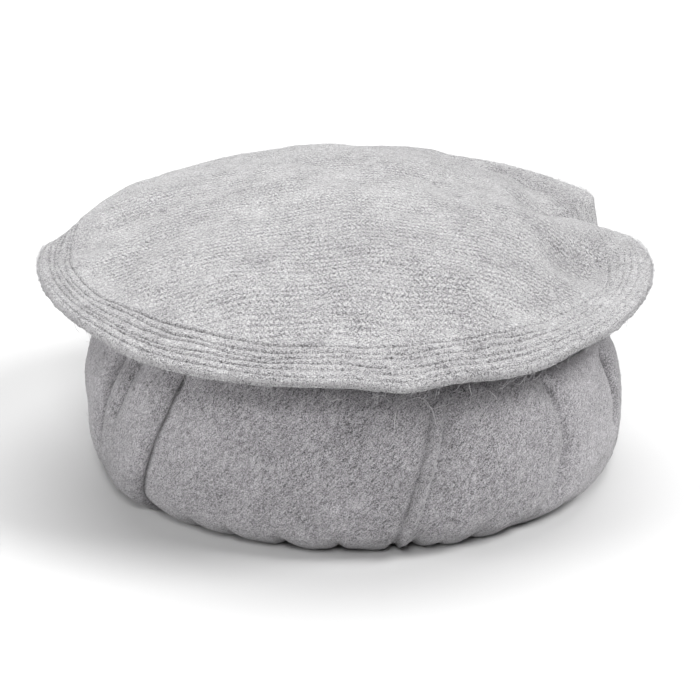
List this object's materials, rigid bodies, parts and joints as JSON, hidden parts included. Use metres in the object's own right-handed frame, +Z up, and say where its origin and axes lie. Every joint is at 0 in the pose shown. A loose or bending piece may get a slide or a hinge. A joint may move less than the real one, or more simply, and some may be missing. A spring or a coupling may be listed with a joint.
{
  "type": "pakol cap",
  "caption": "Soft round wool cap: a shallow domed disc crown with a stitched flange over a sleeve rolled up outwards into a thick band, open below for the head.",
  "frame": {"origin": "bottom centre of the cap's bounding box, on the surface it rests on", "axes": "+Z up through the crown, -Y to the pictured front, +X to the right of the pictured front"},
  "size_m": [0.2476, 0.2474, 0.1169],
  "materials": {
    "crown_wool": "light grey heather wool cloth, finely ribbed and slightly fuzzy",
    "sleeve_wool": "mid grey heather wool, brushed and felted, matt"
  },
  "bodies": {
    "root": {"crown": "crown_wool", "rolled_sleeve": "sleeve_wool"}
  },
  "joints": []
}
